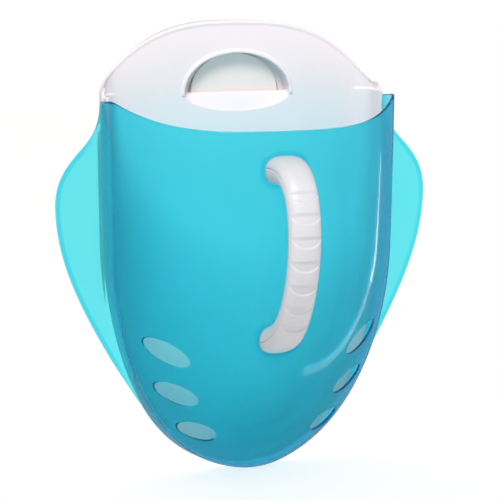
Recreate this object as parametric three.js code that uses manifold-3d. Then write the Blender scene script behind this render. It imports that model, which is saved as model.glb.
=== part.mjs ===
// Bath toy organizer: a translucent scoop with a white back panel and a front handle, hung on a wall bracket.
// Millimetres, +Z up. The origin is the middle of the adhesive pad's wall face, +Y points into the wall,
// so the scoop stands out along -Y.
import * as THREE from 'three';
import { mergeVertices } from 'three/addons/utils/BufferGeometryUtils.js';
import Module from 'manifold-3d';

const wasm = await Module();
wasm.setup();

// Clearances between seated pieces and between pieces that slide
const SEAT_GAP = 0.3;
const SLIDE_GAP = 0.4;

// How far a cutting solid runs past what it cuts
const OVERCUT = 1;

// Scoop body seen from the front: straight sides, then a half ellipse down to the tip
const BODY_HALF_WIDTH = 116;
const RIM_CORNER_DROP = 14.5;
const RIM_DIP = 19.5;
const RIM_POWER = 4.4;
const SIDE_HEIGHT = 123.5;
const BOWL_HEIGHT = 190;

// Scoop body seen from the side: a skirt that narrows forward from the wall, a crease, then the bulging front
const REAR_EDGE_STANDOFF = 42;
const SKIRT_DEPTH = 32;
const SKIRT_TIP_DEPTH = 6;
const SKIRT_FLARE = 2.8;
const SKIRT_TOP_FALL = 3;
const BULGE_DEPTH = 68;
const BULGE_POWER = 2.4;
const FULL_DEPTH_DROP = 42.5;
const SHELL_WALL = 2.6;

// Side fins
const FIN_REACH = 38.5;
const FIN_THICKNESS = 3;
const FIN_TOP_DROP = 6.5;
const FIN_TIP_DROP = 86.5;
const FIN_TIP_ROUND = 42;
const FIN_MERGE_ANGLE = 42;
const FIN_MERGE_PULL = 75;
const FIN_BEAD = 3.8;

// Drain holes, one row down each side of the bowl
const DRAIN_BOWL_ANGLES = [22, 34.5, 48.5];
const DRAIN_SIDE_SHARES = [0.75, 0.75, 0.7];
const DRAIN_LENGTHS = [37, 34, 30];
const DRAIN_WIDTHS = [16, 16.5, 17];
const DRAIN_TILTS = [32, 26, 21];

// Back panel: a shallow dish with an arched top
const PANEL_STANDOFF = 18;
const PANEL_WALL = 2.5;
const PANEL_CURL = 15;
const NEST_DEPTH = 8;
const NEST_WALL = 2;
const ARCH_HEIGHT = 56.4;
const ARCH_SHOULDER = 2;
const ARCH_POWER = 2.86;
const ARCH_ROUNDING = 0.92;
const TOP_LIP_HALF_SPAN = 92;
const TOP_LIP_DEPTH = 14.5;
const TOP_LIP_RISE = 0.8;
const FOOT_RIB_SPACING = 84;
const FOOT_RIB_WIDTH = 4;
const FOOT_RIB_LENGTH = 60;
const FOOT_RIB_DROP = 110;

// Half-moon hanging opening in the panel and the finger ramp under it
const OPENING_HALF_WIDTH = 44.5;
const OPENING_HEIGHT = 31.8;
const OPENING_BASE_DROP = 15.5;
const RAMP_HEIGHT = 14.5;
const RAMP_WALL = 2.2;
const RAMP_END_HEIGHT = 2;
const HOOK_LIP_THICKNESS = 1.8;
const HOOK_LIP_REACH = 6;
const OPENING_BEAD = 1;

// Wall bracket and its adhesive pad
const PAD_WIDTH = 84;
const PAD_HEIGHT = 40;
const PAD_THICKNESS = 1.2;
const PLATE_WIDTH = 104;
const PLATE_HEIGHT = 54;
const PLATE_CORNER = 10;
const PLATE_THICKNESS = 2.2;
const TONGUE_HALF_WIDTH = 37;
const TONGUE_THICKNESS = 2.2;
const TONGUE_SKIRT = 8;

// Handle
const HANDLE_TOP_DROP = 48.5;
const HANDLE_SPAN = 138;
const HANDLE_TOP_REACH = 68;
const HANDLE_TOP_RISE = 8;
const HANDLE_BOTTOM_REACH = 66;
const HANDLE_BOTTOM_RISE = 22;
const GRIP_WIDTH = 23.6;
const GRIP_THICKNESS = 16;
const END_WIDTH = 31;
const END_THICKNESS = 19;
const SECTION_POWER = 2.6;
const HANDLE_WALL = 3;
const SEAM_OFFSET = 2;
const COLLAR_WIDTH = 3;
const COLLAR_HEIGHT = 2.4;
const GRIP_RECESSES = 7;
const RECESS_DEPTH = 1.2;
const RECESS_WIDTH = 20;
const RECESS_HEIGHT = 9;
const FIRST_RECESS = 0.17;
const LAST_RECESS = 0.86;

// Handle screws, driven from inside the scoop
const SCREW_DIAMETER = 3.6;
const SCREW_LENGTH = 13;
const SCREW_HEAD_DIAMETER = 8;
const SCREW_HEAD_HEIGHT = 2.4;
const SCREW_HEAD_FLAT = 4.8;
const UPPER_SCREW_DROP = 3;
const LOWER_SCREW_RISE = 6;

// Facets
const BULGE_STEPS = 32;
const SIDE_STEPS = 5;
const BOWL_STEPS = 14;
const BOWL_END_ANGLE = 87;
const CURL_STEPS = 5;
const OUTLINE_STEPS = 40;
const SECTION_STEPS = 20;
const SWEEP_STEPS = 28;
const CURVE_STEPS = 10;
const FIN_STEPS = 14;
const BEAD_SIDES = 8;

// Heights that several pieces share
const rimCornerZ = -RIM_CORNER_DROP;
const sideBottomZ = rimCornerZ - SIDE_HEIGHT;
const fullDepthZ = rimCornerZ - FULL_DEPTH_DROP;
const tipZ = sideBottomZ - BOWL_HEIGHT;
const archTopZ = rimCornerZ + ARCH_HEIGHT;
const openingBaseZ = -OPENING_BASE_DROP;
const workTopZ = archTopZ + PANEL_STANDOFF;

// Distances in front of the wall, from the pad outward
const plateFront = PAD_THICKNESS + PLATE_THICKNESS;
const hookLipBack = plateFront + SLIDE_GAP;
const hookLipFront = hookLipBack + HOOK_LIP_THICKNESS;
const tongueBack = hookLipFront + SLIDE_GAP;
const tongueFront = tongueBack + TONGUE_THICKNESS;
const rampBack = tongueFront + 2 * SLIDE_GAP;
const panelBack = PANEL_STANDOFF - PANEL_WALL;
const frontLimit = REAR_EDGE_STANDOFF + SKIRT_DEPTH + BULGE_DEPTH + HANDLE_TOP_REACH;

// Half the width over the shell's rear edges, where the panel and the fins meet it
const rearHalfWidth = BODY_HALF_WIDTH + SKIRT_FLARE;

const radians = THREE.MathUtils.degToRad;

// Solids from closed geometry, and geometry from solids
function solid(geometry) {
  const bare = geometry.clone();
  bare.deleteAttribute('normal');
  bare.deleteAttribute('uv');
  const merged = mergeVertices(bare, 1e-5);
  const mesh = new wasm.Mesh({
    numProp: 3,
    vertProperties: new Float32Array(merged.attributes.position.array),
    triVerts: new Uint32Array(merged.index.array),
  });
  return new wasm.Manifold(mesh);
}

function geometryOf(body) {
  const mesh = body.getMesh();
  const geometry = new THREE.BufferGeometry();
  geometry.setAttribute('position', new THREE.BufferAttribute(new Float32Array(mesh.vertProperties), 3));
  geometry.setIndex(new THREE.BufferAttribute(new Uint32Array(mesh.triVerts), 1));
  geometry.computeVertexNormals();
  return geometry;
}

function signedVolume(points, faces) {
  let total = 0;
  for (const [a, b, c] of faces) {
    total += points[a].dot(new THREE.Vector3().crossVectors(points[b], points[c])) / 6;
  }
  return total;
}

// A closed solid through convex rings of equal point counts
function loft(rings) {
  const points = rings.flat();
  const faces = [];
  const count = rings[0].length;
  const last = points.length - count;
  for (let start = 0; start < last; start += count) {
    const next = start + count;
    for (let i = 0; i < count; i += 1) {
      const j = (i + 1) % count;
      faces.push([start + i, start + j, next + j], [start + i, next + j, next + i]);
    }
  }
  for (let i = 1; i + 1 < count; i += 1) {
    faces.push([0, i + 1, i], [last, last + i, last + i + 1]);
  }
  const outward = signedVolume(points, faces) > 0;
  const geometry = new THREE.BufferGeometry().setFromPoints(points);
  geometry.setIndex(faces.flatMap(([a, b, c]) => (outward ? [a, b, c] : [a, c, b])));
  return solid(geometry);
}

// A front-view outline carried from one distance in front of the wall to another
function frontExtrude(shape, back, front) {
  const options = { depth: front - back, bevelEnabled: false, curveSegments: CURVE_STEPS };
  const geometry = new THREE.ExtrudeGeometry(shape, options);
  geometry.rotateX(Math.PI / 2);
  geometry.translate(0, -back, 0);
  return solid(geometry);
}

// A plan-view outline, drawn as x and distance from the wall, carried from one height to another
function planExtrude(shape, bottom, top) {
  const geometry = new THREE.ExtrudeGeometry(shape, { depth: top - bottom, bevelEnabled: false });
  geometry.rotateX(Math.PI);
  geometry.translate(0, 0, top);
  return solid(geometry);
}

function polygon(pairs) {
  return new THREE.Shape(pairs.map(([x, y]) => new THREE.Vector2(x, y)));
}

// Points of a curve y(x) between two ends, for outlines
function curvePairs(from, to, steps, height) {
  const pairs = [];
  for (let i = 0; i <= steps; i += 1) {
    const x = from + ((to - from) * i) / steps;
    pairs.push([x, height(x)]);
  }
  return pairs;
}

// Upper half of an ellipse, from right to left
function domePairs(halfWidth, height, baseZ) {
  const pairs = [];
  for (let i = 0; i <= OUTLINE_STEPS / 2; i += 1) {
    const angle = (Math.PI * 2 * i) / OUTLINE_STEPS;
    pairs.push([halfWidth * Math.cos(angle), baseZ + height * Math.sin(angle)]);
  }
  return pairs;
}

// Scoop body: how far the front stands out at a height, as a share of its full depth
function depthShare(z, inset) {
  const reach = fullDepthZ - tipZ - inset;
  const drop = Math.max(0, fullDepthZ - z);
  return Math.sqrt(Math.max(0, 1 - (drop / reach) ** 2));
}

function skirtDepth(z, inset) {
  return THREE.MathUtils.lerp(SKIRT_TIP_DEPTH, SKIRT_DEPTH, depthShare(z, inset)) - inset / 2;
}

// How much wider the skirt is at its rear edge than at the crease
function rearFlare(z, inset) {
  return SKIRT_FLARE * depthShare(z, inset);
}

function bulgeDepth(z, inset) {
  return (BULGE_DEPTH - inset / 2) * depthShare(z, inset);
}

function bodyFront(z, inset) {
  return REAR_EDGE_STANDOFF + skirtDepth(z, inset) + bulgeDepth(z, inset);
}

// One level section of the body: up the left skirt, across the bulge and back down the right skirt
function bodyRing(z, half, inset, back) {
  const crease = skirtDepth(z, inset);
  const bulge = bulgeDepth(z, inset);
  const rearHalf = half + rearFlare(z, inset);
  const rear = back < REAR_EDGE_STANDOFF ? [back, REAR_EDGE_STANDOFF] : [back];
  const ring = rear.map((out) => new THREE.Vector3(-rearHalf, -out, z));
  for (let i = 0; i <= BULGE_STEPS; i += 1) {
    const x = -half * Math.cos((Math.PI * i) / BULGE_STEPS);
    const out = crease + bulge * (1 - Math.abs(x / half) ** BULGE_POWER);
    ring.push(new THREE.Vector3(x, -REAR_EDGE_STANDOFF - out, z));
  }
  ring.push(...rear.reverse().map((out) => new THREE.Vector3(rearHalf, -out, z)));
  return ring;
}

// The body as a full solid, drawn in or out by an inset, closed by a flat back
function bodySolid(inset, back) {
  const half = BODY_HALF_WIDTH - inset;
  const height = BOWL_HEIGHT - inset;
  const rings = [bodyRing(workTopZ, half, inset, back)];
  for (let i = 0; i < SIDE_STEPS; i += 1) {
    const z = fullDepthZ + ((sideBottomZ - fullDepthZ) * i) / SIDE_STEPS;
    rings.push(bodyRing(z, half, inset, back));
  }
  for (let i = 0; i <= BOWL_STEPS; i += 1) {
    const angle = radians(BOWL_END_ANGLE) * (i / BOWL_STEPS);
    rings.push(bodyRing(sideBottomZ - height * Math.sin(angle), half * Math.cos(angle), inset, back));
  }
  return loft(rings);
}

// Front-view outline of the body's rear edge drawn in by an inset, with straight sides up to a given height
function bodyOutline(inset, topZ) {
  const half = BODY_HALF_WIDTH - inset;
  const height = BOWL_HEIGHT - inset;
  const bowl = [];
  for (let i = 0; i <= BOWL_STEPS; i += 1) {
    const angle = radians(BOWL_END_ANGLE) * (i / BOWL_STEPS);
    const z = sideBottomZ - height * Math.sin(angle);
    bowl.push([half * Math.cos(angle) + rearFlare(z, inset), z]);
  }
  const straight = [];
  for (let i = 0; i < SIDE_STEPS; i += 1) {
    const z = fullDepthZ + ((sideBottomZ - fullDepthZ) * i) / SIDE_STEPS;
    straight.push([half + rearFlare(z, inset), z]);
  }
  const right = [[rearHalfWidth - inset, topZ], ...straight, ...bowl];
  const left = right.map(([x, z]) => [-x, z]);
  return [...left, ...right.reverse()];
}

function rimZ(x) {
  return rimCornerZ - RIM_DIP * (1 - Math.abs(x / BODY_HALF_WIDTH) ** RIM_POWER);
}

// Everything above the curved rim
function aboveRim() {
  const half = BODY_HALF_WIDTH;
  const rim = curvePairs(-half, half, OUTLINE_STEPS, rimZ);
  const reach = half + FIN_REACH;
  const skyZ = workTopZ + OVERCUT;
  const rearZ = rimCornerZ - SKIRT_TOP_FALL;
  const right = [[rearHalfWidth, rearZ], [reach, rearZ], [reach, skyZ]];
  const left = right.map(([x, z]) => [-x, z]).reverse();
  return frontExtrude(polygon([...rim, ...right, ...left]), 0, frontLimit);
}

// Outer edge of a fin seen from the front; side is 1 for the right and -1 for the left
function finEdge(side) {
  const root = rearHalfWidth;
  const tip = BODY_HALF_WIDTH + FIN_REACH;
  const topZ = rimCornerZ - FIN_TOP_DROP;
  const tipLevel = rimCornerZ - FIN_TIP_DROP;
  const merge = radians(FIN_MERGE_ANGLE);
  const mergeZ = sideBottomZ - BOWL_HEIGHT * Math.sin(merge);
  const mergeX = BODY_HALF_WIDTH * Math.cos(merge) + rearFlare(mergeZ, 0);
  const pull = new THREE.Vector2(Math.tan(merge) * BODY_HALF_WIDTH, BOWL_HEIGHT).setLength(FIN_MERGE_PULL);
  const point = (x, z) => new THREE.Vector2(side * x, z);
  const over = new THREE.CubicBezierCurve(
    point(root, topZ),
    point(root, tipLevel + FIN_TIP_ROUND),
    point(tip, tipLevel + FIN_TIP_ROUND),
    point(tip, tipLevel),
  );
  const under = new THREE.CubicBezierCurve(
    point(tip, tipLevel),
    point(tip, tipLevel - FIN_TIP_ROUND),
    point(mergeX + pull.x, mergeZ + pull.y),
    point(mergeX, mergeZ),
  );
  return [...over.getPoints(FIN_STEPS), ...under.getPoints(FIN_STEPS).slice(1)];
}

// One fin plate with a round bead along its outer edge
function fin(side) {
  const edge = finEdge(side);
  const shape = new THREE.Shape(edge);
  const merge = radians(FIN_MERGE_ANGLE);
  const inner = SHELL_WALL / 2;
  for (let i = 0; i <= BOWL_STEPS; i += 1) {
    const angle = merge * (1 - i / BOWL_STEPS);
    const z = sideBottomZ - (BOWL_HEIGHT - inner) * Math.sin(angle);
    shape.lineTo(side * ((BODY_HALF_WIDTH - inner) * Math.cos(angle) + rearFlare(z, inner)), z);
  }
  shape.lineTo(side * (rearHalfWidth - inner), fullDepthZ);
  shape.lineTo(side * (rearHalfWidth - inner), edge[0].y);
  const plate = frontExtrude(shape, REAR_EDGE_STANDOFF, REAR_EDGE_STANDOFF + FIN_THICKNESS);
  const radius = FIN_BEAD / 2;
  const rings = edge.map(({ x, y: z }, i) => {
    const before = edge[Math.max(i - 1, 0)];
    const after = edge[Math.min(i + 1, edge.length - 1)];
    const across = new THREE.Vector2(before.y - after.y, after.x - before.x).setLength(radius);
    return Array.from({ length: BEAD_SIDES }, (_, k) => {
      const angle = (2 * Math.PI * k) / BEAD_SIDES;
      const out = REAR_EDGE_STANDOFF + radius * (1 + Math.sin(angle));
      return new THREE.Vector3(x + across.x * Math.cos(angle), -out, z + across.y * Math.cos(angle));
    });
  });
  return plate.add(loft(rings));
}

// One drain hole, cut straight through the front wall along the mould's draw
function drain(index, side) {
  const angle = radians(DRAIN_BOWL_ANGLES[index]);
  const x = side * DRAIN_SIDE_SHARES[index] * BODY_HALF_WIDTH * Math.cos(angle);
  const z = sideBottomZ - BOWL_HEIGHT * Math.sin(angle);
  const shape = new THREE.Shape();
  const tilt = side * radians(DRAIN_TILTS[index]);
  shape.absellipse(x, z, DRAIN_LENGTHS[index] / 2, DRAIN_WIDTHS[index] / 2, 0, Math.PI * 2, false, tilt);
  return frontExtrude(shape, REAR_EDGE_STANDOFF + FIN_THICKNESS, frontLimit);
}

// Handle path in the middle plane, from its upper foot on the shell to its lower foot
const handleTopZ = rimCornerZ - HANDLE_TOP_DROP;
const handleBottomZ = handleTopZ - HANDLE_SPAN;
const upperFoot = new THREE.Vector3(0, -bodyFront(handleTopZ, 0), handleTopZ);
const lowerFoot = new THREE.Vector3(0, -bodyFront(handleBottomZ, 0), handleBottomZ);
const handlePath = new THREE.CubicBezierCurve3(
  upperFoot,
  upperFoot.clone().add(new THREE.Vector3(0, -HANDLE_TOP_REACH, HANDLE_TOP_RISE)),
  lowerFoot.clone().add(new THREE.Vector3(0, -HANDLE_BOTTOM_REACH, HANDLE_BOTTOM_RISE)),
  lowerFoot,
);
const footDepth = END_THICKNESS / 2;

// A place on the handle: its point, the direction out of the grip and the half sizes of the section
function handleStation(t) {
  const clamped = THREE.MathUtils.clamp(t, 0, 1);
  const tangent = handlePath.getTangent(clamped);
  const point = handlePath.getPoint(clamped);
  point.addScaledVector(tangent, (t - clamped) * handlePath.getLength());
  const outward = new THREE.Vector3(0, tangent.z, -tangent.y);
  const flare = Math.abs(2 * clamped - 1) ** 4;
  const halfWidth = THREE.MathUtils.lerp(GRIP_WIDTH, END_WIDTH, flare) / 2;
  const halfThickness = THREE.MathUtils.lerp(GRIP_THICKNESS, END_THICKNESS, flare) / 2;
  return { point, outward, halfWidth, halfThickness };
}

// A section swept along the handle between two path shares; outline gives [across, outward] pairs
function handleSweep(from, to, outline) {
  const rings = [];
  for (let i = 0; i <= SWEEP_STEPS; i += 1) {
    const station = handleStation(from + ((to - from) * i) / SWEEP_STEPS);
    const ring = outline(station).map(([across, out]) => {
      const place = station.point.clone().addScaledVector(station.outward, out);
      place.x += across;
      return place;
    });
    rings.push(ring);
  }
  return loft(rings);
}

function roundSection(grow) {
  return ({ halfWidth, halfThickness }) => {
    const pairs = [];
    const soften = (value) => Math.sign(value) * Math.abs(value) ** (2 / SECTION_POWER);
    for (let i = 0; i < SECTION_STEPS; i += 1) {
      const angle = (2 * Math.PI * i) / SECTION_STEPS;
      pairs.push([
        (halfWidth + grow) * soften(Math.cos(angle)),
        (halfThickness + grow) * soften(Math.sin(angle)),
      ]);
    }
    return pairs;
  };
}

function boxSection(half, low, high) {
  return [[-half, low], [half, low], [half, high], [-half, high]];
}

const footShare = footDepth / handlePath.getLength();

function wholeHandle(grow) {
  return handleSweep(-footShare, 1 + footShare, roundSection(grow));
}

// The part of the handle's space in front of its seam
function handleFrontSpace(seam) {
  return handleSweep(-footShare, 1 + footShare, () => boxSection(END_WIDTH, seam, END_THICKNESS));
}

// Raised collar that rings each handle foot on the shell
function collars() {
  const near = wholeHandle(COLLAR_WIDTH).intersect(bodySolid(-COLLAR_HEIGHT, REAR_EDGE_STANDOFF));
  return near.subtract(wholeHandle(SEAT_GAP)).subtract(bodySolid(SHELL_WALL / 2, REAR_EDGE_STANDOFF));
}

// Screw places: on the inner wall under each foot, square to the wall
function screwPlace(z) {
  const step = SHELL_WALL;
  const slope = (bodyFront(z + step, SHELL_WALL) - bodyFront(z - step, SHELL_WALL)) / (2 * step);
  const axis = new THREE.Vector3(0, -1, -slope).normalize();
  const seat = new THREE.Vector3(0, -bodyFront(z, SHELL_WALL), z).addScaledVector(axis, -SEAT_GAP);
  return { seat, axis };
}

const upperScrew = screwPlace(handleTopZ - UPPER_SCREW_DROP);
const lowerScrew = screwPlace(handleBottomZ + LOWER_SCREW_RISE);
const up = new THREE.Vector3(0, 1, 0);

function screwBore({ seat, axis }) {
  const radius = SCREW_DIAMETER / 2 + SEAT_GAP;
  const length = SCREW_LENGTH + 2 * SEAT_GAP;
  const geometry = new THREE.CylinderGeometry(radius, radius, length, SECTION_STEPS);
  geometry.translate(0, length / 2 - SEAT_GAP, 0);
  geometry.applyQuaternion(new THREE.Quaternion().setFromUnitVectors(up, axis));
  geometry.translate(seat.x, seat.y, seat.z);
  return solid(geometry);
}

// Pan-head screw along +Y, its head below zero
function screwGeometry() {
  const head = SCREW_HEAD_DIAMETER / 2;
  const shank = SCREW_DIAMETER / 2;
  const profile = [
    [0, -SCREW_HEAD_HEIGHT],
    [SCREW_HEAD_FLAT / 2, -SCREW_HEAD_HEIGHT],
    [head, -SCREW_HEAD_HEIGHT / 2],
    [head, 0],
    [shank, 0],
    [shank, SCREW_LENGTH - SCREW_DIAMETER],
    [0, SCREW_LENGTH],
  ];
  const points = profile.map(([radius, y]) => new THREE.Vector2(radius, y));
  const geometry = new THREE.LatheGeometry(points, SECTION_STEPS);
  return geometryOf(solid(geometry));
}

function scoopShell() {
  let shell = bodySolid(0, REAR_EDGE_STANDOFF).subtract(bodySolid(SHELL_WALL, 0));
  shell = shell.add(fin(1)).add(fin(-1)).add(collars()).subtract(aboveRim());
  for (let i = 0; i < DRAIN_BOWL_ANGLES.length; i += 1) {
    shell = shell.subtract(drain(i, 1)).subtract(drain(i, -1));
  }
  return shell.subtract(screwBore(upperScrew)).subtract(screwBore(lowerScrew));
}

// Panel edge curve seen from the front
function archZ(x) {
  const across = Math.min(1, Math.abs(x / rearHalfWidth));
  const shoulderZ = rimCornerZ + ARCH_SHOULDER;
  return shoulderZ + (archTopZ - shoulderZ) * (1 - across ** ARCH_POWER) ** ARCH_ROUNDING;
}

// Dish surface: a flat floor whose edge curls forward into a straight side wall. The wall is lined up to the
// height of the shell's corners, and the lining runs on forward to nest inside the shell
function dish(floor, curl, edgeInset, front) {
  const ring = (inset, distance) =>
    bodyOutline(inset, workTopZ).map(([x, z]) => new THREE.Vector3(x, -distance, z));
  const rings = [];
  for (let i = 0; i <= CURL_STEPS; i += 1) {
    const angle = (Math.PI / 2) * (i / CURL_STEPS);
    rings.push(ring(edgeInset + curl * (1 - Math.sin(angle)), floor + curl * (1 - Math.cos(angle))));
  }
  rings.push(ring(edgeInset, front));
  return loft(rings);
}

function panelDish() {
  const edge = REAR_EDGE_STANDOFF - SEAT_GAP;
  const nestInset = SHELL_WALL + SEAT_GAP;
  const nestFront = REAR_EDGE_STANDOFF + NEST_DEPTH;
  const outer = dish(panelBack, PANEL_CURL + PANEL_WALL, 0, edge);
  const nest = frontExtrude(polygon(bodyOutline(nestInset, workTopZ)), edge - PANEL_WALL, nestFront);
  const seated = nest.intersect(bodySolid(nestInset, 0)).trimByPlane([0, 0, -1], -rimCornerZ);
  const clear = nestFront + PANEL_WALL;
  const lined = dish(PANEL_STANDOFF, PANEL_CURL, nestInset + NEST_WALL, clear);
  const unlined = dish(PANEL_STANDOFF, PANEL_CURL, PANEL_WALL, clear).trimByPlane([0, 0, 1], rimCornerZ);
  const half = rearHalfWidth + OVERCUT;
  const bottom = tipZ - OVERCUT;
  const arch = curvePairs(half, -half, OUTLINE_STEPS, archZ);
  const below = frontExtrude(polygon([[-half, bottom], [half, bottom], ...arch]), 0, frontLimit);
  return outer.add(seated).subtract(lined).subtract(unlined).intersect(below);
}

// Crescent lip behind the arch's top edge
function topLip() {
  const span = TOP_LIP_HALF_SPAN;
  const taper = (x) => 1 - (x / span) ** 2;
  const upper = curvePairs(span, -span, OUTLINE_STEPS, (x) => archZ(x) + TOP_LIP_RISE * taper(x));
  const lower = curvePairs(-span, span, OUTLINE_STEPS, (x) => archZ(x) - PANEL_WALL);
  const band = frontExtrude(polygon([...lower, ...upper]), 0, PANEL_STANDOFF - SEAT_GAP);
  const depth = TOP_LIP_DEPTH - PANEL_WALL;
  const back = curvePairs(span, -span, OUTLINE_STEPS, (x) => panelBack - depth * taper(x));
  const plan = polygon([[-span, PANEL_STANDOFF], [span, PANEL_STANDOFF], ...back]);
  return band.intersect(planExtrude(plan, sideBottomZ, workTopZ));
}

// Ring between two domes on short straight legs, for the hood and its hooked edge
function domeRing(grow, reach, legs) {
  const outer = domePairs(OPENING_HALF_WIDTH + grow, OPENING_HEIGHT + grow, openingBaseZ);
  const inner = domePairs(OPENING_HALF_WIDTH - reach, OPENING_HEIGHT - reach, openingBaseZ).reverse();
  const feet = [outer[0], inner.at(-1), inner[0], outer.at(-1)].map(([x, z]) => [x, z - legs]);
  const [outerRight, innerRight, innerLeft, outerLeft] = feet;
  return polygon([outerRight, ...outer, outerLeft, innerLeft, ...inner, innerRight]);
}

function hood() {
  const wall = domeRing(PANEL_WALL, 0, RAMP_END_HEIGHT);
  const lip = domeRing(PANEL_WALL, HOOK_LIP_REACH, RAMP_END_HEIGHT);
  const beaded = frontExtrude(wall, hookLipBack, PANEL_STANDOFF + OPENING_BEAD);
  return beaded.add(frontExtrude(lip, hookLipBack, hookLipFront));
}

// Whole eye of the opening: half-moon above its base, ramp outline below it
function openingEye() {
  const above = domePairs(OPENING_HALF_WIDTH, OPENING_HEIGHT, openingBaseZ);
  const below = domePairs(OPENING_HALF_WIDTH, -RAMP_HEIGHT, openingBaseZ).reverse().slice(1, -1);
  return frontExtrude(polygon([...above, ...below]), panelBack - OVERCUT, PANEL_STANDOFF + OVERCUT);
}

// Dished ramp that runs from the panel's face back to the base of the opening
function ramp() {
  const rings = [];
  const steps = OUTLINE_STEPS / 2;
  for (let i = 0; i <= steps; i += 1) {
    const angle = (Math.PI * i) / steps;
    const grow = OPENING_HALF_WIDTH + RAMP_WALL;
    const x = -grow * Math.cos(angle);
    const drop = Math.max(RAMP_END_HEIGHT, (RAMP_HEIGHT + RAMP_WALL) * Math.sin(angle));
    const backTop = new THREE.Vector3(x, -rampBack, openingBaseZ);
    const frontTop = new THREE.Vector3(x, -rampBack - RAMP_WALL, openingBaseZ);
    const frontLow = new THREE.Vector3(x, -PANEL_STANDOFF, openingBaseZ - drop);
    const backLow = new THREE.Vector3(x, -panelBack, openingBaseZ - drop);
    rings.push([backTop, frontTop, frontLow, backLow]);
  }
  return loft(rings);
}

// Rib that keeps the panel's lower end off the wall
function footRib(side) {
  const x = (side * FOOT_RIB_SPACING) / 2;
  const top = sideBottomZ - FOOT_RIB_DROP + FOOT_RIB_LENGTH;
  const half = FOOT_RIB_WIDTH / 2;
  const outline = polygon([
    [x - half, top - FOOT_RIB_LENGTH], [x + half, top - FOOT_RIB_LENGTH], [x + half, top], [x - half, top],
  ]);
  return frontExtrude(outline, SEAT_GAP, PANEL_STANDOFF - SEAT_GAP);
}

function backPanel() {
  const dish = panelDish().subtract(openingEye());
  return dish.add(topLip()).add(hood()).add(ramp()).add(footRib(1)).add(footRib(-1));
}

function roundedRectangle(width, height, corner) {
  const shape = new THREE.Shape();
  const x = width / 2 - corner;
  const z = height / 2 - corner;
  shape.absarc(x, z, corner, 0, Math.PI / 2);
  shape.absarc(-x, z, corner, Math.PI / 2, Math.PI);
  shape.absarc(-x, -z, corner, Math.PI, Math.PI * 1.5);
  shape.absarc(x, -z, corner, Math.PI * 1.5, Math.PI * 2);
  return shape;
}

// Half-moon with a straight skirt below its base
function halfMoon(half, height) {
  const dome = domePairs(half, height, openingBaseZ);
  return polygon([...dome, [-half, openingBaseZ - TONGUE_SKIRT], [half, openingBaseZ - TONGUE_SKIRT]]);
}

function wallBracket() {
  const outline = roundedRectangle(PLATE_WIDTH, PLATE_HEIGHT, PLATE_CORNER);
  const plate = frontExtrude(outline, PAD_THICKNESS, plateFront);
  const seat = halfMoon(TONGUE_HALF_WIDTH - HOOK_LIP_REACH, OPENING_HEIGHT - HOOK_LIP_REACH - SEAT_GAP);
  const web = frontExtrude(seat, PAD_THICKNESS, tongueFront);
  const face = halfMoon(TONGUE_HALF_WIDTH, OPENING_HEIGHT - SLIDE_GAP);
  const tongue = frontExtrude(face, tongueBack, tongueFront);
  return plate.add(web).add(tongue);
}

function adhesivePad() {
  return frontExtrude(roundedRectangle(PAD_WIDTH, PAD_HEIGHT, PLATE_CORNER / 2), 0, PAD_THICKNESS);
}

// Shallow half-moon pressed into the face of the grip, straight side up
function gripRecess(t) {
  const { point, outward, halfThickness } = handleStation(t);
  const outline = polygon(domePairs(RECESS_WIDTH / 2, -RECESS_HEIGHT, RECESS_HEIGHT / 2));
  const geometry = new THREE.ExtrudeGeometry(outline, { depth: GRIP_THICKNESS, bevelEnabled: false });
  const across = new THREE.Vector3(1, 0, 0);
  const along = new THREE.Vector3().crossVectors(outward, across);
  const place = new THREE.Matrix4().makeBasis(across, along, outward);
  place.setPosition(point.addScaledVector(outward, halfThickness - RECESS_DEPTH));
  geometry.applyMatrix4(place);
  return solid(geometry);
}

function handleFront() {
  const foot = bodySolid(-SEAT_GAP, REAR_EDGE_STANDOFF);
  let cover = wholeHandle(0).intersect(handleFrontSpace(SEAM_OFFSET + SEAT_GAP / 2)).subtract(foot);
  for (let i = 0; i < GRIP_RECESSES; i += 1) {
    const t = THREE.MathUtils.lerp(FIRST_RECESS, LAST_RECESS, i / (GRIP_RECESSES - 1));
    cover = cover.subtract(gripRecess(t));
  }
  return cover;
}

function handleBack() {
  const foot = bodySolid(-SEAT_GAP, REAR_EDGE_STANDOFF);
  const channel = handleSweep(FIRST_RECESS, LAST_RECESS, ({ halfWidth, halfThickness }) =>
    boxSection(halfWidth - HANDLE_WALL, HANDLE_WALL - halfThickness, END_THICKNESS));
  const half = wholeHandle(0).subtract(handleFrontSpace(SEAM_OFFSET - SEAT_GAP / 2)).subtract(foot);
  return half.subtract(channel).subtract(screwBore(upperScrew)).subtract(screwBore(lowerScrew));
}

// Materials
const aquaPlastic = new THREE.MeshStandardMaterial({
  color: 0x1fc8dc, roughness: 0.18, metalness: 0, transparent: true, opacity: 0.6,
});
const whitePlastic = new THREE.MeshStandardMaterial({ color: 0xf2f2f6, roughness: 0.3, metalness: 0 });
const foamTape = new THREE.MeshStandardMaterial({ color: 0xe4e2dc, roughness: 0.9, metalness: 0 });
const stainlessSteel = new THREE.MeshStandardMaterial({ color: 0xb8bcc0, roughness: 0.35, metalness: 1 });

function part(name, geometry, material) {
  const mesh = new THREE.Mesh(geometry, material);
  mesh.name = name;
  return mesh;
}

function screw(name, { seat, axis }) {
  const mesh = part(name, screwGeometry(), stainlessSteel);
  mesh.position.copy(seat);
  mesh.quaternion.setFromUnitVectors(up, axis);
  return mesh;
}

const scoop = new THREE.Group();
scoop.add(part('scoop_shell', geometryOf(scoopShell()), aquaPlastic));
scoop.add(part('back_panel', geometryOf(backPanel()), whitePlastic));
scoop.add(part('handle_front', geometryOf(handleFront()), whitePlastic));
scoop.add(part('handle_back', geometryOf(handleBack()), whitePlastic));
scoop.add(screw('handle_screw_upper', upperScrew));
scoop.add(screw('handle_screw_lower', lowerScrew));

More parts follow.
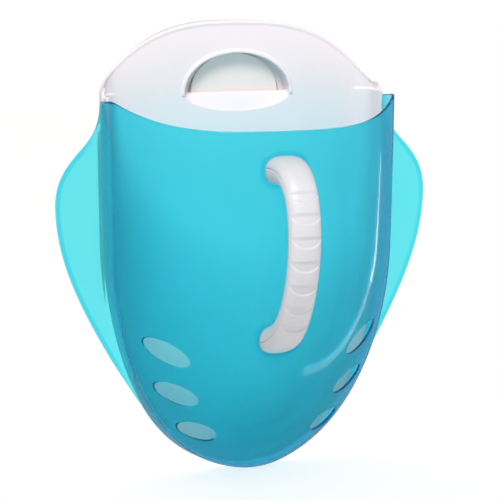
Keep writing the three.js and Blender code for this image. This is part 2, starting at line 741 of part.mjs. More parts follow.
const bracket = new THREE.Group();
bracket.add(part('wall_bracket', geometryOf(wallBracket()), whitePlastic));
bracket.add(part('adhesive_pad', geometryOf(adhesivePad()), foamTape));

const organizer = new THREE.Group();
organizer.add(bracket, scoop);

export default organizer;
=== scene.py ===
import math

import bmesh
import bpy
import numpy as np
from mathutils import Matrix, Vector


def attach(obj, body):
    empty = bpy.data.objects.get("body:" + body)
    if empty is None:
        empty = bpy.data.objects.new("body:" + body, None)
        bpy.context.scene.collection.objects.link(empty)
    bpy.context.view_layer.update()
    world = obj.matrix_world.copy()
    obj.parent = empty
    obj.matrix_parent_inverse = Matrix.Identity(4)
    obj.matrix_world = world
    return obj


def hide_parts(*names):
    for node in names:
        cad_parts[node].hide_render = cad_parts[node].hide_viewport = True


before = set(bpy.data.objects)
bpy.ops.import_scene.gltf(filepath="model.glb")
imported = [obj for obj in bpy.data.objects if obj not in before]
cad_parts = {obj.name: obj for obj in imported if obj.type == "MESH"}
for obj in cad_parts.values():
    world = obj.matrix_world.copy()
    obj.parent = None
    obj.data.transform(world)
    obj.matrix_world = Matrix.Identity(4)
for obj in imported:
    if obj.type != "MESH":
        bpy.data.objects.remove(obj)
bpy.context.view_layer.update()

# Lengths of the part are in millimetres, as in its source, and meshes are made in metres.
# A distance is counted from the wall towards the viewer, so y is its negative.
MM = 0.001
SEAT_GAP = 0.3
COINCIDENT = 0.001
NEARLY_COINCIDENT = 0.002
NARROWEST = 1e-6

# Scoop body seen from the front
BODY_HALF_WIDTH = 116.0
RIM_CORNER_Z = -14.5
RIM_DIP = 19.5
RIM_POWER = 4.4
SIDE_BOTTOM_Z = -138.0
BOWL_HEIGHT = 190.0
TIP_Z = SIDE_BOTTOM_Z - BOWL_HEIGHT

# Scoop body seen from the side
REAR_EDGE = 42.0
SKIRT_DEPTH = 32.0
SKIRT_TIP_DEPTH = 6.0
SKIRT_TOP_FALL = 3.0
BULGE_DEPTH = 68.0
BULGE_POWER = 2.4
FULL_DEPTH_Z = -57.0
SHELL_WALL = 2.6
CREASE_PASSES = 7

# How much wider the skirt is at its rear edge. The lower flare's curve is divided by its own highest value.
SKIRT_FLARE = 2.8
LOWER_FLARE = 5.5
LOWER_FLARE_POWER = 3
LOWER_FLARE_PEAK = 0.325
REAR_HALF_WIDTH = BODY_HALF_WIDTH + SKIRT_FLARE
BEYOND_SIDES = REAR_HALF_WIDTH + SHELL_WALL

# Side fins
FIN_REACH = 38.5
FIN_THICKNESS = 1.8
FIN_TOP_Z = -21.0
FIN_TIP_Z = -101.0
FIN_TIP_ROUND = 42.0
FIN_LOWER_ROUND = 52.0
FIN_MERGE_ANGLE = math.radians(42.0)
FIN_MERGE_PULL = 75.0
FIN_BEAD = 3.8
FIN_BEAD_END = 0.3
FIN_BEAD_TAPER = 0.16

# Drain holes, one row down each side of the bowl, from the top one to the lowest
DRAIN_BOWL_ANGLES = (22.0, 34.5, 48.5)
DRAIN_SIDE_SHARES = (0.75, 0.75, 0.7)
DRAIN_LENGTHS = (37.0, 34.0, 30.0)
DRAIN_WIDTHS = (16.0, 16.5, 17.0)
DRAIN_TILTS = (32.0, 26.0, 21.0)

# Back panel
PANEL_FRONT = 18.0
PANEL_WALL = 2.5
PANEL_BACK = PANEL_FRONT - PANEL_WALL
PANEL_CURL = 15.0
PANEL_DRAW = 1.6
NEST_DEPTH = 8.0
NEST_WALL = 3.2
NEST_INSET = SHELL_WALL + SEAT_GAP
ARCH_TOP_Z = 41.9
ARCH_SHOULDER_Z = -12.5
ARCH_POWER = 2.86
ARCH_ROUNDING = 0.92
ARCH_BEAD_WIDTH = 2.2
ARCH_BEAD_RISE = 0.6
TOP_LIP_HALF_SPAN = 92.0
TOP_LIP_DEPTH = 14.5
TOP_LIP_RISE = 0.8
FOOT_RIB_X = 42.0
FOOT_RIB_WIDTH = 4.0
FOOT_RIB_TOP_Z = -188.0
FOOT_RIB_LENGTH = 60.0
PANEL_CLEAR = REAR_EDGE + NEST_DEPTH + PANEL_WALL
PANEL_SKY_Z = ARCH_TOP_Z + PANEL_FRONT

# Even mesh of the panel, with edges that are relaxed round
PANEL_VOXEL = 0.7
PANEL_SMOOTHING = 3
PANEL_RELAX = 0.5
PANEL_FACES_KEPT = 0.2

# Hanging opening and the finger ramp under it
OPENING_HALF_WIDTH = 44.5
OPENING_HEIGHT = 31.8
OPENING_BASE_Z = -15.5
OPENING_BEAD = 1.0
RAMP_HEIGHT = 14.5
RAMP_WALL = 2.2
RAMP_BACK = 9.0
RAMP_END_HEIGHT = 2.0
HOOK_LIP_BACK = 3.8
HOOK_LIP_FRONT = 5.6
HOOK_LIP_REACH = 6.0

# Handle
HANDLE_TOP_Z = -63.0
HANDLE_BOTTOM_Z = -195.5
HANDLE_TOP_REACH = 68.0
HANDLE_TOP_RISE = 10.0
HANDLE_BOTTOM_REACH = 66.0
HANDLE_BOTTOM_RISE = 22.0
GRIP_WIDTH = 23.6
GRIP_THICKNESS = 16.0
END_WIDTH = 31.0
END_THICKNESS = 21.5
END_FLARE_POWER = 4
SECTION_POWER = 2.6
SEAM_OFFSET = 2.0
SEAM_GAP = 0.12
COLLAR_HALF_WIDTH = 1.6
COLLAR_HEIGHT = 2.0
SLIDE_PASSES = 12
SLIDE_SHARE = 0.8
SCREW_NODES = ("handle_screw_upper", "handle_screw_lower")

# Thumb hollows, placed by their share of the handle's path
RECESSES = 7
FIRST_RECESS = 0.272
LAST_RECESS = 0.80
RECESS_DEPTH = 1.2
RECESS_HALF_WIDTH = 12.0
RECESS_HEIGHT = 9.5
RECESS_EDGE = 0.7
RECESS_FADE = 3.2

# Angles in degrees above which an edge stays sharp, and the rounding of the nodes that stay
SHELL_SHARP = 40.0
PANEL_SHARP = 60.0
HANDLE_SHARP = 50.0
NODE_SHARP = 40.0
ROUNDING_STEPS = 3
BRACKET_ROUNDING = 0.6
SMALL_ROUNDING = 0.3

# Every finish varies between two values over this part of a noise's range
NOISE_LOW = 0.3
NOISE_HIGH = 0.7

# Aqua plastic: the skin's tint and gloss, faint waves, and the colour that grows with thickness
AQUA_TONES = ((0.25, 0.95, 0.96), (0.28, 0.98, 0.98))
AQUA_TONE_SCALE = 7.0
AQUA_ROUGHNESS = (0.10, 0.16)
AQUA_HAZE_SCALE = 60.0
AQUA_TRANSMISSION = 0.96
AQUA_IOR = 1.15
AQUA_GLOSS_TINT = (0.3, 0.9, 1.0, 1.0)
AQUA_COAT = 0.3
AQUA_COAT_ROUGHNESS = 0.04
AQUA_WAVE_SCALE = 45.0
AQUA_WAVE_DETAIL = 2.0
AQUA_WAVE_STRENGTH = 0.1
AQUA_WAVE_HEIGHT = 0.2
AQUA_DEPTH_COLOUR = (0.0, 0.80, 0.92, 1.0)
AQUA_DEPTH_DENSITY = 360.0

# White plastics: what sets each one apart, then what they share. The panel's pink cast and the bracket's
# warm cast in their tones are painted bounce light; both plastics are white.
# The panel's pink cast is painted bounce light on white plastic
PANEL_PAINTED_PINK_BOUNCE_TONES = ((0.90, 0.79, 0.81), (0.93, 0.82, 0.84))
PANEL_ROUGHNESS = (0.28, 0.36)
PANEL_GRAIN_SCALE = 260.0
GRIP_TONES = ((0.64, 0.64, 0.67), (0.68, 0.68, 0.71))
GRIP_ROUGHNESS = (0.34, 0.44)
GRIP_GRAIN_SCALE = 260.0
# The bracket's warm cast is painted bounce light on white plastic
BRACKET_PAINTED_WARM_BOUNCE_TONES = ((0.92, 0.77, 0.74), (0.95, 0.80, 0.77))
BRACKET_ROUGHNESS = (0.3, 0.42)
BRACKET_GRAIN_SCALE = 320.0
GRAIN_STRENGTH = 0.2
GRAIN_HEIGHT = 0.05
FLOW_MARK_SCALE = 14.0
POLISH_SCALE = 90.0
SUBSURFACE_WEIGHT = 0.15
SUBSURFACE_RADIUS = (1.0, 0.9, 0.9)
SUBSURFACE_DEPTH = 2.0

# Foam tape and screw steel
FOAM_TONES = ((0.66, 0.65, 0.62), (0.82, 0.81, 0.78))
FOAM_CELL_SCALE = 900.0
FOAM_CELL_DETAIL = 6.0
FOAM_CELL_STRENGTH = 0.6
FOAM_CELL_HEIGHT = 0.3
STEEL_TONES = ((0.45, 0.46, 0.48), (0.62, 0.63, 0.65))
STEEL_ROUGHNESS = (0.25, 0.4)
STEEL_MARK_SCALE = 700.0
STEEL_MARK_DETAIL = 4.0
MATT = 0.9
WHITE = (1.0, 1.0, 1.0, 1.0)

# Camera fitted to the photograph, in metres, with its lens and sensor in millimetres
CAMERA_PLACE = (-0.3010, -1.0373, 0.0748)
CAMERA_YAW = math.radians(17.0)
CAMERA_PITCH = math.radians(11.84)
CAMERA_LENS = 92.88
SENSOR_WIDTH = 36.0

# The floor is white, out to where it curves up all round. Gloss mirrors a duller one in its place.
# Its gap under the scoop's tip is in millimetres and its radii are in metres.
FLOOR_GAP = 1.0
FLOOR_FLAT_RADIUS = 15.0
FLOOR_CURVE_RADIUS = 5.0
FLOOR_GLOW = 0.70
FLOOR_TONE = (0.82, 0.76, 0.74)
GLOSS_GLOW = 0.08
GLOSS_TONE = (0.2, 0.2, 0.2)
TONE_SPREAD = 0.01
FLOOR_TONE_SCALE = 2.0

# Lights, in metres: all round, a soft box above, and a strip along the floor that gets brighter further off
WORLD_STRENGTH = 0.4
KEY_PLACE = (-0.5, -1.2, 1.45)
KEY_TARGET = (0.0, -0.1, -0.1)
KEY_SIZE = 0.8
KEY_POWER = 30.0
STRIP_START = (0.10, -0.19, -0.325)
STRIP_MIDDLE = (0.55, 0.0375, -0.325)
STRIP_END = (1.90, 0.72, -0.325)
STRIP_WIDTH = 0.02
STRIP_NEAR_GLOW = 10.0
STRIP_FAR_GLOW = 30.0


# Mesh helpers
def add_object(name, points, faces):
    mesh = bpy.data.meshes.new(name)
    mesh.from_pydata((np.asarray(points) * MM).tolist(), [], faces)
    mesh.validate()
    obj = bpy.data.objects.new(name, mesh)
    bpy.context.scene.collection.objects.link(obj)
    return obj


def grid_faces(rows, columns, closed=False):
    faces = []
    for row in range(rows - 1):
        here = row * columns
        below = here + columns
        for column in range(columns if closed else columns - 1):
            after = (column + 1) % columns
            faces.append((here + column, here + after, below + after, below + column))
    return faces


def face_outward(obj, merge=0.0):
    """Joins vertices that coincide and turns all faces outward."""
    shape = bmesh.new()
    shape.from_mesh(obj.data)
    if merge:
        bmesh.ops.remove_doubles(shape, verts=shape.verts, dist=merge * MM)
    bmesh.ops.recalc_face_normals(shape, faces=shape.faces)
    shape.to_mesh(obj.data)
    shape.free()
    return obj


def loft(name, rings):
    """Closed solid through closed rings of equal point counts, capped at both ends."""
    rings = np.asarray(rings)
    count, size = rings.shape[:2]
    last = (count - 1) * size
    faces = grid_faces(count, size, closed=True)
    faces.append(tuple(range(size)))
    faces.append(tuple(range(last, last + size)))
    return face_outward(add_object(name, rings.reshape(-1, 3), faces))


def front_ring(x, out, z):
    """Points that all lie at one distance from the wall."""
    return np.column_stack([x, np.full(len(x), -out), z])


def front_prism(name, outline, back, front):
    """Outline of x and z pairs carried from one distance in front of the wall to another."""
    x, z = np.asarray(outline).T
    return loft(name, [front_ring(x, out, z) for out in (back, front)])


def plan_prism(name, outline, bottom, top):
    """Outline of x and distance pairs carried from one height to another."""
    x, out = np.asarray(outline).T
    return loft(name, [np.column_stack([x, -out, np.full(len(x), z)]) for z in (bottom, top)])


def apply_modifiers(obj):
    graph = bpy.context.evaluated_depsgraph_get()
    mesh = bpy.data.meshes.new_from_object(obj.evaluated_get(graph))
    obj.modifiers.clear()
    obj.data = mesh


def combine(obj, other, operation):
    """Boolean of two closed solids; the second one is used up."""
    step = obj.modifiers.new(operation, "BOOLEAN")
    step.operation = operation
    step.solver = "MANIFOLD"
    step.object = other
    apply_modifiers(obj)
    bpy.data.objects.remove(other)
    return obj


def smooth(obj, sharp_degrees):
    obj.data.shade_smooth()
    obj.data.set_sharp_from_angle(angle=math.radians(sharp_degrees))


def along_curve(points, count):
    """Points evenly spaced along a polyline."""
    steps = np.linalg.norm(np.diff(points, axis=0), axis=1)
    run = np.concatenate([[0.0], np.cumsum(steps)])
    places = np.linspace(0.0, run[-1], count)
    return np.column_stack([np.interp(places, run, column) for column in points.T])


def bezier(controls, shares):
    a, b, c, d = (np.asarray(point, dtype=float) for point in controls)
    t = np.asarray(shares)[:, None]
    return a * (1 - t) ** 3 + 3 * b * t * (1 - t) ** 2 + 3 * c * t ** 2 * (1 - t) + d * t ** 3


def bezier_tangent(controls, shares):
    a, b, c, d = (np.asarray(point, dtype=float) for point in controls)
    t = np.asarray(shares)[:, None]
    slope = (b - a) * (1 - t) ** 2 + 2 * (c - b) * t * (1 - t) + (d - c) * t ** 2
    return slope / np.linalg.norm(slope, axis=1)[:, None]


def ease(share):
    """Smooth step from 0 to 1."""
    return share * share * (3.0 - 2.0 * share)


# Scoop body
def depth_share(z, inset=0.0):
    """Share of the full depth at a height, 1 near the rim and 0 at the tip."""
    drop = np.clip((FULL_DEPTH_Z - z) / (FULL_DEPTH_Z - TIP_Z - inset), 0.0, 1.0)
    return np.sqrt(1.0 - drop ** 2)


def skirt_depth(z, inset=0.0):
    return SKIRT_TIP_DEPTH + (SKIRT_DEPTH - SKIRT_TIP_DEPTH) * depth_share(z, inset) - inset / 2


def front_distance(x, z, half, inset=0.0):
    """Distance of the bulging front from the wall, for a body of that half width at the height z."""
    bulge = (BULGE_DEPTH - inset / 2) * depth_share(z, inset)
    across = np.clip(np.abs(x) / np.maximum(half, NARROWEST), 0.0, 1.0)
    return REAR_EDGE + skirt_depth(z, inset) + bulge * (1.0 - across ** BULGE_POWER)


def bowl_drop(z, inset=0.0):
    """How far down the bowl a height lies, from 0 to 1."""
    return np.clip((SIDE_BOTTOM_Z - z) / (BOWL_HEIGHT - inset), 0.0, 1.0)


def half_width(z, inset=0.0):
    return (BODY_HALF_WIDTH - inset) * np.sqrt(1.0 - bowl_drop(z, inset) ** 2)


def rim_z(x):
    return RIM_CORNER_Z - RIM_DIP * (1.0 - np.clip(np.abs(x) / BODY_HALF_WIDTH, 0.0, 1.0) ** RIM_POWER)


def rear_flare(z, inset=0.0):
    """How much wider the body is at its rear edge than at the crease."""
    drop = bowl_drop(z, inset)
    lower = LOWER_FLARE * drop ** LOWER_FLARE_POWER * np.sqrt(1.0 - drop ** 2) / LOWER_FLARE_PEAK
    return SKIRT_FLARE * depth_share(z, inset) + lower


def body_row(half, heights, rear_fall, inset, columns, finer=4):
    """One row round the body: out along the left skirt, across the bulge, back along the right skirt."""
    x = -half * np.cos(np.linspace(0.0, math.pi, finer * columns))
    z = heights(x)
    bulge = np.column_stack([x, -front_distance(x, z, half, inset), z])
    rear_x = half + rear_flare(z[0], inset)
    rear_z = z[0] - rear_fall
    rear_left = (-rear_x, -REAR_EDGE, rear_z)
    rear_right = (rear_x, -REAR_EDGE, rear_z)
    row = along_curve(np.vstack([rear_left, bulge, rear_right]), columns)
    for _ in range(CREASE_PASSES):
        row[1:-1] = (row[:-2] + 2.0 * row[1:-1] + row[2:]) / 4.0
    return row


def body_rows(inset, columns, side_rows, bowl_rows):
    """Rows from the curved rim down the straight sides, then level ones down the bowl."""
    half = BODY_HALF_WIDTH - inset
    rows = []
    for drop in np.linspace(0.0, 1.0, side_rows, endpoint=False):
        def heights(x, share=drop):
            return (rim_z(x) - SHELL_WALL / 2) * (1.0 - share) + SIDE_BOTTOM_Z * share
        rows.append(body_row(half, heights, SKIRT_TOP_FALL * (1.0 - drop), inset, columns))
    for angle in np.linspace(0.0, math.pi / 2, bowl_rows):
        level = SIDE_BOTTOM_Z - (BOWL_HEIGHT - inset) * math.sin(angle)
        width = half * math.cos(angle)
        rows.append(body_row(width, lambda x, z=level: np.full(len(x), z), 0.0, inset, columns))
    return np.asarray(rows)


def shell_body(columns=181, side_rows=46, bowl_rows=84, rim_steps=8):
    """Thin wall between two bodies, with a half-round rim and flat rear edges."""
    outer = body_rows(0.0, columns, side_rows, bowl_rows)
    inner = body_rows(SHELL_WALL, columns, side_rows, bowl_rows)
    centre = (outer[0] + inner[0]) / 2
    reach = (outer[0] - inner[0]) / 2
    rim = []
    for angle in np.linspace(0.0, math.pi, rim_steps + 1):
        lift = np.array([0.0, 0.0, SHELL_WALL / 2 * math.sin(angle)])
        rim.append(centre + reach * math.cos(angle) + lift)
    section = np.concatenate([outer[::-1], np.asarray(rim)[1:-1], inner])
    count = len(section)
    faces = grid_faces(count, columns)
    rows = len(outer)
    for edge in (0, columns - 1):
        for row in range(rows - 1):
            up = (rows - 1 - row) * columns + edge
            down = (count - rows + row) * columns + edge
            faces.append((up, up - columns, down + columns, down))
        faces.append(tuple(k * columns + edge for k in range(rows - 1, count - rows + 1)))
    return face_outward(add_object("shell", section.reshape(-1, 3), faces), NEARLY_COINCIDENT)


def fin_edge(side, steps=48):
    """Outer edge of a fin, from its top down to where it merges with the bowl."""
    tip = BODY_HALF_WIDTH + FIN_REACH
    merge_z = SIDE_BOTTOM_Z - BOWL_HEIGHT * math.sin(FIN_MERGE_ANGLE)
    merge_x = BODY_HALF_WIDTH * math.cos(FIN_MERGE_ANGLE) + rear_flare(merge_z)
    slope = np.array([math.tan(FIN_MERGE_ANGLE) * BODY_HALF_WIDTH, BOWL_HEIGHT])
    pull = slope / np.linalg.norm(slope) * FIN_MERGE_PULL
    over = [
        (REAR_HALF_WIDTH, FIN_TOP_Z),
        (REAR_HALF_WIDTH, FIN_TIP_Z + FIN_TIP_ROUND),
        (tip, FIN_TIP_Z + FIN_TIP_ROUND),
        (tip, FIN_TIP_Z),
    ]
    under = [
        (tip, FIN_TIP_Z),
        (tip, FIN_TIP_Z - FIN_LOWER_ROUND),
        (merge_x + pull[0], merge_z + pull[1]),
        (merge_x, merge_z),
    ]
    shares = np.linspace(0.0, 1.0, steps)
    return np.vstack([bezier(over, shares), bezier(under, shares)[1:]]) * (side, 1)


def fin_plate(side, root_steps=24):
    inner = SHELL_WALL / 2
    angles = np.linspace(FIN_MERGE_ANGLE, 0.0, root_steps)
    z = SIDE_BOTTOM_Z - (BOWL_HEIGHT - inner) * np.sin(angles)
    x = (BODY_HALF_WIDTH - inner) * np.cos(angles) + rear_flare(z, inner)
    root = np.column_stack([side * x, z])
    straight = side * (REAR_HALF_WIDTH - inner)
    outline = np.vstack([fin_edge(side), root, [[straight, FULL_DEPTH_Z], [straight, FIN_TOP_Z]]])
    return front_prism("fin", outline, REAR_EDGE, REAR_EDGE + FIN_THICKNESS)


def fin_bead(side, steps=120, tube_steps=14):
    """Round bead along a fin's edge, thinner towards both ends."""
    edge = along_curve(fin_edge(side), steps)
    ahead = np.gradient(edge, axis=0)
    across = np.column_stack([-ahead[:, 1], ahead[:, 0]]) / np.linalg.norm(ahead, axis=1)[:, None]
    from_end = np.linspace(0.0, 1.0, steps)
    from_end = np.minimum(from_end, 1.0 - from_end) / FIN_BEAD_TAPER
    radii = FIN_BEAD / 2 * (FIN_BEAD_END + (1.0 - FIN_BEAD_END) * np.clip(from_end, 0.0, 1.0))
    turn = np.linspace(0.0, 2 * math.pi, tube_steps, endpoint=False)
    rings = []
    for (x, z), (across_x, across_z), radius in zip(edge, across, radii):
        wide = radius * np.cos(turn)
        out = REAR_EDGE + radius + radius * np.sin(turn)
        rings.append(np.column_stack([x + across_x * wide, -out, z + across_z * wide]))
    return loft("fin_bead", rings)


def drain_cutter(index, side, steps=64):
    """Tilted oval that cuts one drain hole straight through the bulge."""
    angle = math.radians(DRAIN_BOWL_ANGLES[index])
    tilt = side * math.radians(DRAIN_TILTS[index])
    middle_x = side * DRAIN_SIDE_SHARES[index] * BODY_HALF_WIDTH * math.cos(angle)
    middle_z = SIDE_BOTTOM_Z - BOWL_HEIGHT * math.sin(angle)
    turn = np.linspace(0.0, 2 * math.pi, steps, endpoint=False)
    wide = DRAIN_LENGTHS[index] / 2 * np.cos(turn)
    high = DRAIN_WIDTHS[index] / 2 * np.sin(turn)
    x = middle_x + wide * math.cos(tilt) - high * math.sin(tilt)
    z = middle_z + wide * math.sin(tilt) + high * math.cos(tilt)
    front = 2 * REAR_EDGE + BULGE_DEPTH
    return front_prism("drain", np.column_stack([x, z]), REAR_EDGE + FIN_THICKNESS, front)


# Handle
def foot_point(z):
    return np.array([-float(front_distance(0.0, z, half_width(z))), z])


def handle_controls():
    upper = foot_point(HANDLE_TOP_Z)
    lower = foot_point(HANDLE_BOTTOM_Z)
    return [
        upper,
        upper + (-HANDLE_TOP_REACH, HANDLE_TOP_RISE),
        lower + (-HANDLE_BOTTOM_REACH, HANDLE_BOTTOM_RISE),
        lower,
    ]


def handle_frames(shares):
    """Points, tangents and outward directions of the handle's path in the middle plane."""
    controls = handle_controls()
    points = bezier(controls, shares)
    tangents = bezier_tangent(controls, shares)
    outward = np.column_stack([tangents[:, 1], -tangents[:, 0]])
    flat = np.zeros(len(points))
    return [np.column_stack([flat, pair]) for pair in (points, tangents, outward)]


def handle_halves(share):
    """Half the width and half the thickness, which both grow towards the feet."""
    flare = abs(2 * share - 1) ** END_FLARE_POWER
    width = GRIP_WIDTH + (END_WIDTH - GRIP_WIDTH) * flare
    thickness = GRIP_THICKNESS + (END_THICKNESS - GRIP_THICKNESS) * flare
    return width / 2, thickness / 2


def section_points(share, grow=0.0, steps=160):
    """Section of the whole handle as across and outward pairs."""
    half, thick = handle_halves(share)
    turn = np.linspace(0.0, 2 * math.pi, steps, endpoint=False)
    across = np.sign(np.cos(turn)) * np.abs(np.cos(turn)) ** (2 / SECTION_POWER) * (half + grow)
    outward = np.sign(np.sin(turn)) * np.abs(np.sin(turn)) ** (2 / SECTION_POWER) * (thick + grow)
    return np.column_stack([across, outward])


def place_section(pairs, middle, outward):
    """Across and outward pairs set round a point of the handle's path."""
    ring = middle + pairs[:, 1:] * outward
    ring[:, 0] += pairs[:, 0]
    return ring


def half_section(share, front, columns, passes=2):
    """Section of one half of the handle, cut at the seam, with slightly rounded corners."""
    seam = SEAM_OFFSET + (SEAM_GAP / 2 if front else -SEAM_GAP / 2)
    pairs = section_points(share)
    pairs[:, 1] = np.maximum(pairs[:, 1], seam) if front else np.minimum(pairs[:, 1], seam)
    closed = np.vstack([pairs, pairs[:1]])
    ring = along_curve(closed, columns + 1)[:-1]
    for _ in range(passes):
        ring = (np.roll(ring, 1, axis=0) + 2.0 * ring + np.roll(ring, -1, axis=0)) / 4.0
    return ring


def slide_to_shell(points, tangent, gap):
    """Moves points along a direction until they stand that far off the front of the shell."""
    points = points.copy()
    for _ in range(SLIDE_PASSES):
        front = front_distance(points[:, 0], points[:, 2], half_width(points[:, 2]))
        points += ((points[:, 1] + front + gap) / -tangent[1])[:, None] * tangent * SLIDE_SHARE
    return points


def press_recesses(points):
    """Shallow half-moons in the face of the grip, with a soft straight side up."""
    shares = np.linspace(FIRST_RECESS, LAST_RECESS, RECESSES)
    for share, middle, tangent, outward in zip(shares, *handle_frames(shares)):
        offset = points - middle
        up = -offset @ tangent
        out = offset @ outward
        across = np.clip(np.abs(points[..., 0]) / RECESS_HALF_WIDTH, 0.0, 1.0)
        bottom = RECESS_HEIGHT / 2 - RECESS_HEIGHT * np.sqrt(1.0 - across ** 2)
        from_top = (RECESS_HEIGHT / 2 - up) / RECESS_FADE
        inside = np.clip(np.minimum(from_top, (up - bottom) / RECESS_EDGE), 0.0, 1.0)
        facing = np.clip(out / handle_halves(share)[1], 0.0, 1.0)
        points = points - (ease(inside) * facing * RECESS_DEPTH)[..., None] * outward
    return points


def handle_half(front, rows=400, columns=96, foot_blend=0.1):
    """Outer or inner half of the handle, with both feet seated on the shell."""
    shares = np.linspace(0.0, 1.0, rows)
    middles, tangents, outwards = handle_frames(shares)
    rings = []
    for share, middle, outward in zip(shares, middles, outwards):
        rings.append(place_section(half_section(share, front, columns), middle, outward))
    rings = np.asarray(rings)
    for end, order in ((0, 1), (rows - 1, -1)):
        slide = slide_to_shell(rings[end], tangents[end], SEAT_GAP) - rings[end]
        for step in range(int(rows * foot_blend)):
            fade = 1.0 - step / (rows * foot_blend)
            rings[end + order * step] += slide * fade * fade
    if front:
        rings = press_recesses(rings)
    return loft("handle_half", rings)


def collar(share, side_steps=64, tube_steps=16):
    """Raised ring on the shell round one foot of the handle."""
    middles, tangents, outwards = handle_frames(np.array([share]))
    rise = tangents[0] if share < 0.5 else -tangents[0]
    pairs = section_points(share, SEAT_GAP + COLLAR_HALF_WIDTH, side_steps)
    line = slide_to_shell(place_section(pairs, middles[0], outwards[0]), tangents[0], 0.0)
    away = pairs / np.linalg.norm(pairs, axis=1)[:, None]
    turn = np.linspace(0.0, 2 * math.pi, tube_steps, endpoint=False)
    rings = []
    for place, (across, outward) in zip(line, away):
        radial = np.array([across, 0.0, 0.0]) + outward * outwards[0]
        wide = COLLAR_HALF_WIDTH * np.cos(turn)[:, None] * radial
        high = COLLAR_HEIGHT * np.sin(turn)[:, None] * rise
        rings.append(place + wide + high)
    rings.append(rings[0])
    points = np.asarray(rings)
    faces = grid_faces(len(points), tube_steps, closed=True)
    return face_outward(add_object("collar", points.reshape(-1, 3), faces), COINCIDENT)


def screw_bores(obj):
    """Bores of both handle screws, a little wider than the screws themselves."""
    for node in SCREW_NODES:
        cutter = bpy.data.objects.new("bore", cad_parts[node].data.copy())
        bpy.context.scene.collection.objects.link(cutter)
        face_outward(cutter, COINCIDENT)
        vertices = cutter.data.vertices
        shifts = [vertex.normal * SEAT_GAP * MM for vertex in vertices]
        for vertex, shift in zip(vertices, shifts):
            vertex.co += shift
        cutter.data.update()
        combine(obj, cutter, "DIFFERENCE")


# Back panel
def dome(half, height, base, steps=72):
    turn = np.linspace(0.0, math.pi, steps)
    return np.column_stack([half * np.cos(turn), base + height * np.sin(turn)])


def body_outline(inset, top, bowl_steps=60, side_steps=12):
    """The body's rear edge seen from the front, drawn in by an inset, with straight sides up to a height."""
    half = BODY_HALF_WIDTH - inset
    angles = np.linspace(0.0, math.pi / 2, bowl_steps)
    bowl_z = SIDE_BOTTOM_Z - (BOWL_HEIGHT - inset) * np.sin(angles)
    side_z = np.linspace(FULL_DEPTH_Z, SIDE_BOTTOM_Z, side_steps, endpoint=False)
    z = np.concatenate([[top], side_z, bowl_z])
    x = np.concatenate([np.full(side_steps + 1, half), half * np.cos(angles)]) + rear_flare(z, inset)
    right = np.column_stack([x, z])
    return np.vstack([right, right[-2::-1] * (-1, 1)])


def arch_z(x):
    """Height of the panel's arched top edge."""
    across = np.clip(np.abs(x) / (REAR_HALF_WIDTH - PANEL_DRAW), 0.0, 1.0)
    return ARCH_SHOULDER_Z + (ARCH_TOP_Z - ARCH_SHOULDER_Z) * (1.0 - across ** ARCH_POWER) ** ARCH_ROUNDING


def dish(name, floor, curl, edge_inset, front, steps=14):
    """Flat floor whose edge curls forward into a straight side wall, open at the top."""
    rings = []
    for angle in np.linspace(0.0, math.pi / 2, steps):
        x, z = body_outline(edge_inset + curl * (1.0 - math.sin(angle)), PANEL_SKY_Z).T
        rings.append(front_ring(x, floor + curl * (1.0 - math.cos(angle)), z))
    rings.append(front_ring(x, front, z))
    return loft(name, rings)


def nest_wall():
    """Wall that stands inside the shell's rear edge, drawn in where the shell's skirt runs out."""
    x, z = body_outline(NEST_INSET, RIM_CORNER_Z).T
    skirt = skirt_depth(z, NEST_INSET)
    reach = np.minimum(NEST_DEPTH, skirt)
    narrowing = np.sign(x) * rear_flare(z, NEST_INSET) * reach / skirt
    back = front_ring(x, REAR_EDGE - PANEL_WALL, z)
    seat = front_ring(x, REAR_EDGE, z)
    tip = np.column_stack([x - narrowing, -REAR_EDGE - reach, z])
    return loft("nest", [back, seat, tip])


def panel_dish(name):
    return dish(name, PANEL_BACK, PANEL_CURL + PANEL_WALL, PANEL_DRAW, REAR_EDGE - SEAT_GAP)


def hollow_panel():
    """Dish and nesting wall, hollowed out wider above the shell's corners, where nothing lines it."""
    panel = panel_dish("panel")
    combine(panel, nest_wall(), "UNION")
    lined = dish("lined", PANEL_FRONT, PANEL_CURL, NEST_INSET + NEST_WALL, PANEL_CLEAR)
    unlined = dish("unlined", PANEL_FRONT, PANEL_CURL, PANEL_DRAW + PANEL_WALL, PANEL_CLEAR)
    upper = [
        (-BEYOND_SIDES, RIM_CORNER_Z),
        (BEYOND_SIDES, RIM_CORNER_Z),
        (BEYOND_SIDES, 2 * PANEL_SKY_Z),
        (-BEYOND_SIDES, 2 * PANEL_SKY_Z),
    ]
    combine(unlined, front_prism("upper", upper, 0.0, 2 * PANEL_CLEAR), "INTERSECT")
    combine(panel, lined, "DIFFERENCE")
    return combine(panel, unlined, "DIFFERENCE")


def under_arch(steps=240):
    """Everything under the arch, from the wall to well in front of the panel."""
    x = np.linspace(BEYOND_SIDES, -BEYOND_SIDES, steps)
    floor = [[-BEYOND_SIDES, TIP_Z - SHELL_WALL], [BEYOND_SIDES, TIP_Z - SHELL_WALL]]
    outline = np.vstack([floor, np.column_stack([x, arch_z(x)])])
    return front_prism("arch", outline, 0.0, 2 * REAR_EDGE)


def dome_ring(reach):
    """Band along the hanging opening's edge, which reaches that far into the opening."""
    outer = dome(OPENING_HALF_WIDTH + PANEL_WALL, OPENING_HEIGHT + PANEL_WALL, OPENING_BASE_Z)
    inner = dome(OPENING_HALF_WIDTH - reach, OPENING_HEIGHT - reach, OPENING_BASE_Z)[::-1]
    drop = np.array([0.0, RAMP_END_HEIGHT])
    return np.vstack([outer[0] - drop, outer, outer[-1] - drop, inner[0] - drop, inner, inner[-1] - drop])


